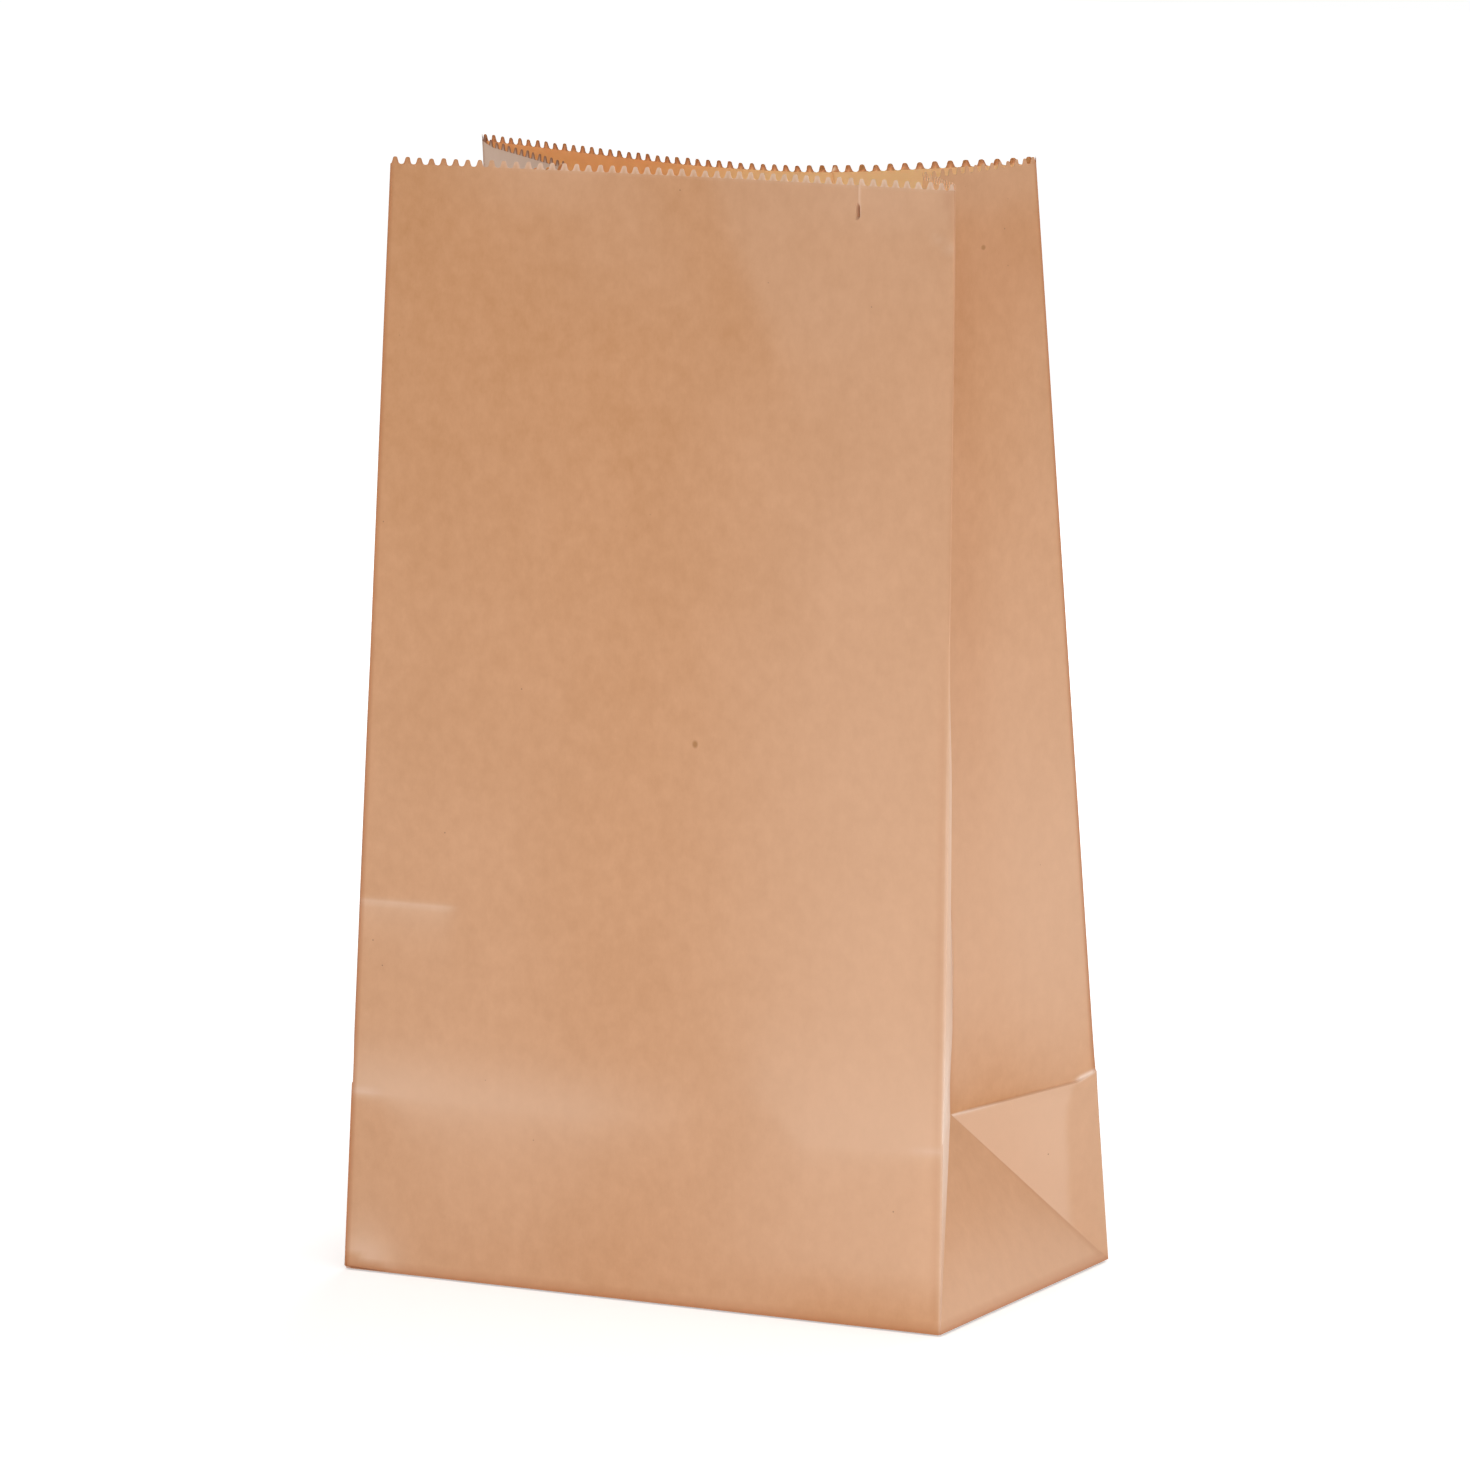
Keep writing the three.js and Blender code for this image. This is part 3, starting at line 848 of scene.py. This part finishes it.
# A tooth's tip comes just on each of the back's two folds.
fold_tips = {fold: tube.on_panel(fold, 0.0, HEIGHT, tip_ring[panel_start[fold]]) for fold in (BACK, LEFT_REAR)}
for panel in range(6):
    first, last = panel_start[panel], panel_start[panel + 1]
    shares = [columns[i][1] for i in range(first, last)] + [1.0]
    low = np.array([tube.points[top[i]] for i in range(first, last + 1)])
    high = np.array([tip_ring[i] for i in range(first, last + 1)])
    teeth = panel_teeth[panel]
    for tooth in range(teeth):
        start, end = tooth / teeth, (tooth + 1) / teeth
        below = [i for i in range(len(shares)) if start - 1e-4 <= shares[i] <= end + 1e-4]
        tall = 1.0 + 0.10 * draw.uniform(-1, 1)
        bent = 0.18 * draw.uniform(-1, 1)
        first_tip = fold_tips.get(panel) if tooth == 0 else None
        last_tip = fold_tips.get((panel + 1) % 6) if tooth == teeth - 1 else None
        profile = [(across, up) for across, up in TOOTH_PROFILE
                   if (first_tip is None or across > 0.25) and (last_tip is None or across < 0.75)]
        profile = ([*CORNER_TOOTH] if first_tip is not None else []) + profile
        profile += [(1 - across, up) for across, up in CORNER_TOOTH[::-1]] if last_tip is not None else []
        edge = [] if first_tip is None else [first_tip]
        for across, up in profile:
            share = start + (end - start) * across
            foot_point = np.array([np.interp(share, shares, low[:, k]) for k in range(3)])
            head_point = np.array([np.interp(share, shares, high[:, k]) for k in range(3)])
            position = foot_point + (head_point - foot_point) * min(1.0, up * tall)
            relief = relief_at(panel, share, HEIGHT) + bent * up
            edge.append(tube.on_panel(panel, share, HEIGHT, position, relief))
        edge += [] if last_tip is None else [last_tip]
        base_line = [top[first + i] for i in below]
        if panel == FRONT and start < SLIT_AT < end:
            cut = base_line.index(top[slit_column])
            half = sum(1 for across, _ in TOOTH_PROFILE if start + (end - start) * across < SLIT_AT)
            tube.face(*base_line[:cut + 1], *edge[:half][::-1])
            tube.face(right_of_slit(base_line[cut]), *base_line[cut + 1:], *edge[half:][::-1])
        else:
            tube.face(*base_line, *edge[::-1])


def paper_object(name, sheet, materials):
    """The sheet as a closed shell one layer thick, with its folds kept sharp."""
    mesh = bpy.data.meshes.new(name)
    mesh.from_pydata([tuple(p * MM) for p in sheet.points], [], sheet.faces)
    mesh.update()
    normals = np.array([v.normal for v in mesh.vertices])
    moved = np.array(sheet.points) + normals * np.array(sheet.relief)[:, None]
    mesh.vertices.foreach_set("co", (moved * MM).astype(np.float32).ravel())
    for mark_name, values in sheet.marks.items():
        mesh.attributes.new(mark_name, "FLOAT", "POINT").data.foreach_set("value", values)
    for material in materials:
        mesh.materials.append(material)
    mesh.update()
    piece = bpy.data.objects.new(name, mesh)
    bpy.context.scene.collection.objects.link(piece)
    layer = piece.modifiers.new("one_layer", "SOLIDIFY")
    layer.thickness = PAPER * MM
    layer.offset = -1.0
    layer.use_rim = True
    layer.material_offset = 1
    layer.material_offset_rim = 2
    shell = bpy.data.meshes.new_from_object(piece.evaluated_get(bpy.context.evaluated_depsgraph_get()))
    piece.modifiers.clear()
    piece.data = shell
    shell.name = name
    bpy.data.meshes.remove(mesh)
    shell.shade_smooth()
    shell.set_sharp_from_angle(angle=math.radians(28))
    return piece


bag_tube = paper_object("bag_tube", tube, (smooth_face, inner_face, cut_edge))
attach(bag_tube, "root")
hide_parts("paper_bag")


# The base's flaps are the ends of the front and of the back, folded under and pasted on the inmost layer.
# Each is cut back at the corners by the sides' folds, reaches past the middle, and the front's lies outermost.
FLAP_LAP = 10.0
FLAP_INSET = 0.4
FLAP_STEPS = 14
FLAP_FOLD = ((0.0, 0.0), (0.04, 0.45), (0.14, 0.85), (0.30, 1.0))


def base_flap(name, panel, towards, layer):
    """A flap from the foot of a panel, though panel itself is not used; towards is +1 where it runs to the back, and
    layer counts up from the floor.
    """
    edge_y = -towards * half_d
    lies_at = layer * PAPER
    reach = half_d + FLAP_LAP
    flap = FoldedSheet()
    runs = [(depth, WALL_FOOT + (lies_at - WALL_FOOT) * down) for depth, down in FLAP_FOLD]
    runs += [(FLAP_FOLD[-1][0] + (reach - FLAP_FOLD[-1][0]) * i / FLAP_STEPS, lies_at)
             for i in range(1, FLAP_STEPS + 1)]
    rows = []
    for depth, z in runs:
        half = half_w - FLAP_INSET - depth
        row = []
        for i in range(2 * FLAP_STEPS + 1):
            x = half * (i / FLAP_STEPS - 1)
            # Painted shade along the flap's fold.
            worn = 0.5 if depth < 1.0 else 0.0
            row.append(flap.point((x, edge_y + towards * depth, z), pale=0.5 - 0.25 * layer, burnished=worn))
        rows.append(row)
    flap.grid([row[::-1] for row in rows] if towards > 0 else rows)
    piece = paper_object(name, flap, (smooth_face, inner_face, cut_edge))
    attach(piece, "root")
    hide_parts("paper_bag")
    return piece


base_flap("base_flap_front", FRONT, +1, 0)
base_flap("base_flap_back", BACK, -1, 1)


# The floor is a wide sheet of white paper under the bag, and the room round it is as white.
# It takes the bag's soft shadow, and is white to the camera and in what the paper's gloss mirrors.
FLOOR_SIZE = 8.0
FLOOR_WHITE = 0.82
NEAR_LIFT = 0.42
FAR_LIFT = 0.80
LIFT_FROM = 0.25
LIFT_TO = 1.3
ROOM_LIGHT = 0.31


def seen_directly(tree):
    """1 for rays from the camera, and for those that a gloss or a clear surface sends on."""
    path = shader_node(tree, "ShaderNodeLightPath")
    seen = arithmetic(tree, "MAXIMUM", path.outputs["Is Camera Ray"], path.outputs["Is Glossy Ray"])
    return arithmetic(tree, "MAXIMUM", seen, path.outputs["Is Transmission Ray"])


floor_mesh = bpy.data.meshes.new("floor")
reach = FLOOR_SIZE / 2
below_base = -0.0003
corners = [(-reach, -reach), (reach, -reach), (reach, reach), (-reach, reach)]
floor_mesh.from_pydata([(x, y, below_base) for x, y in corners], [], [(0, 1, 2, 3)])
floor = bpy.data.objects.new("floor", floor_mesh)
bpy.context.scene.collection.objects.link(floor)
floor_paper = bpy.data.materials.new("floor_white")
floor_paper.use_nodes = True
tree = floor_paper.node_tree
tree.nodes.clear()
matt = shader_node(tree, "ShaderNodeBsdfDiffuse", {"Color": colour((FLOOR_WHITE,) * 3)})
off_bag = shader_node(tree, "ShaderNodeVectorMath",
                      {0: shader_node(tree, "ShaderNodeTexCoord").outputs["Object"]}, operation="LENGTH")
rising = spread(tree, off_bag.outputs["Value"], LIFT_FROM, LIFT_TO, NEAR_LIFT, FAR_LIFT)
lift = arithmetic(tree, "MULTIPLY", seen_directly(tree), rising)
glow = shader_node(tree, "ShaderNodeEmission", {"Color": colour((1.0, 1.0, 1.0)), "Strength": lift})
both = shader_node(tree, "ShaderNodeAddShader", {0: matt.outputs[0], 1: glow.outputs[0]})
output = shader_node(tree, "ShaderNodeOutputMaterial")
tree.links.new(both.outputs[0], output.inputs["Surface"])
floor_mesh.materials.append(floor_paper)

room = bpy.data.worlds.new("white_room")
room.use_nodes = True
tree = room.node_tree
tree.nodes.clear()
strength = spread(tree, seen_directly(tree), 0.0, 1.0, ROOM_LIGHT, 1.0)
sky = shader_node(tree, "ShaderNodeBackground", {"Color": colour((1.0, 1.0, 1.0)), "Strength": strength})
output = shader_node(tree, "ShaderNodeOutputWorld")
tree.links.new(sky.outputs[0], output.inputs["Surface"])
bpy.context.scene.world = room


# Soft boxes light the bag: one overhead, one behind, and three low ones that stand round its front and right.
# The low ones are narrow, so the foot of the bag is a little brighter than its mouth.
def soft_box(name, azimuth, distance, height, aim_height, size, power):
    lamp = bpy.data.lights.new(name, "AREA")
    lamp.shape = "RECTANGLE"
    lamp.size, lamp.size_y = size
    lamp.energy = power
    box = bpy.data.objects.new(name, lamp)
    a = math.radians(azimuth)
    box.location = (distance * math.sin(a), -distance * math.cos(a), height)
    towards = Vector((0.0, 0.0, aim_height)) - Vector(box.location)
    box.rotation_euler = towards.to_track_quat("-Z", "Y").to_euler()
    box.visible_camera = False
    bpy.context.scene.collection.objects.link(box)


soft_box("top_box", 10, 0.25, 1.28, 0.11, (1.0, 1.0), 5.6)
soft_box("back_box", 180, 1.06, 0.86, 0.11, (0.9, 0.7), 8.0)
soft_box("low_front_box", -8, 0.55, 0.07, 0.07, (0.8, 0.14), 1.15)
soft_box("low_corner_box", 50, 0.55, 0.07, 0.07, (0.5, 0.14), 0.78)
soft_box("low_right_box", 85, 0.55, 0.125, 0.11, (0.5, 0.25), 0.715)

# The camera stands well back with a long lens, a little to the right of the front and just above the bag.
LENS_PIXELS = 8143.0
PHOTO_WIDTH = 1470.0
YAW = math.radians(27.97)
PITCH = math.radians(8.85)
ROLL = math.radians(-0.26)
CAMERA_BACK = 1.817
AIM = Vector((0.00271, 0.0, 0.1208))

camera_data = bpy.data.cameras.new("camera")
camera_data.sensor_fit = "HORIZONTAL"
camera_data.sensor_width = 36.0
camera_data.lens = LENS_PIXELS / PHOTO_WIDTH * camera_data.sensor_width
camera = bpy.data.objects.new("camera", camera_data)
bpy.context.scene.collection.objects.link(camera)
away = Vector((math.sin(YAW) * math.cos(PITCH), -math.cos(YAW) * math.cos(PITCH), math.sin(PITCH)))
level_right = Vector((0.0, 0.0, 1.0)).cross(away).normalized()
level_up = away.cross(level_right)
right = level_right * math.cos(ROLL) + level_up * math.sin(ROLL)
up = level_up * math.cos(ROLL) - level_right * math.sin(ROLL)
turn = Matrix((right, up, away)).transposed().to_4x4()
camera.matrix_world = Matrix.Translation(AIM + away * CAMERA_BACK) @ turn
bpy.context.scene.camera = camera

bpy.context.scene.view_settings.view_transform = "Standard"
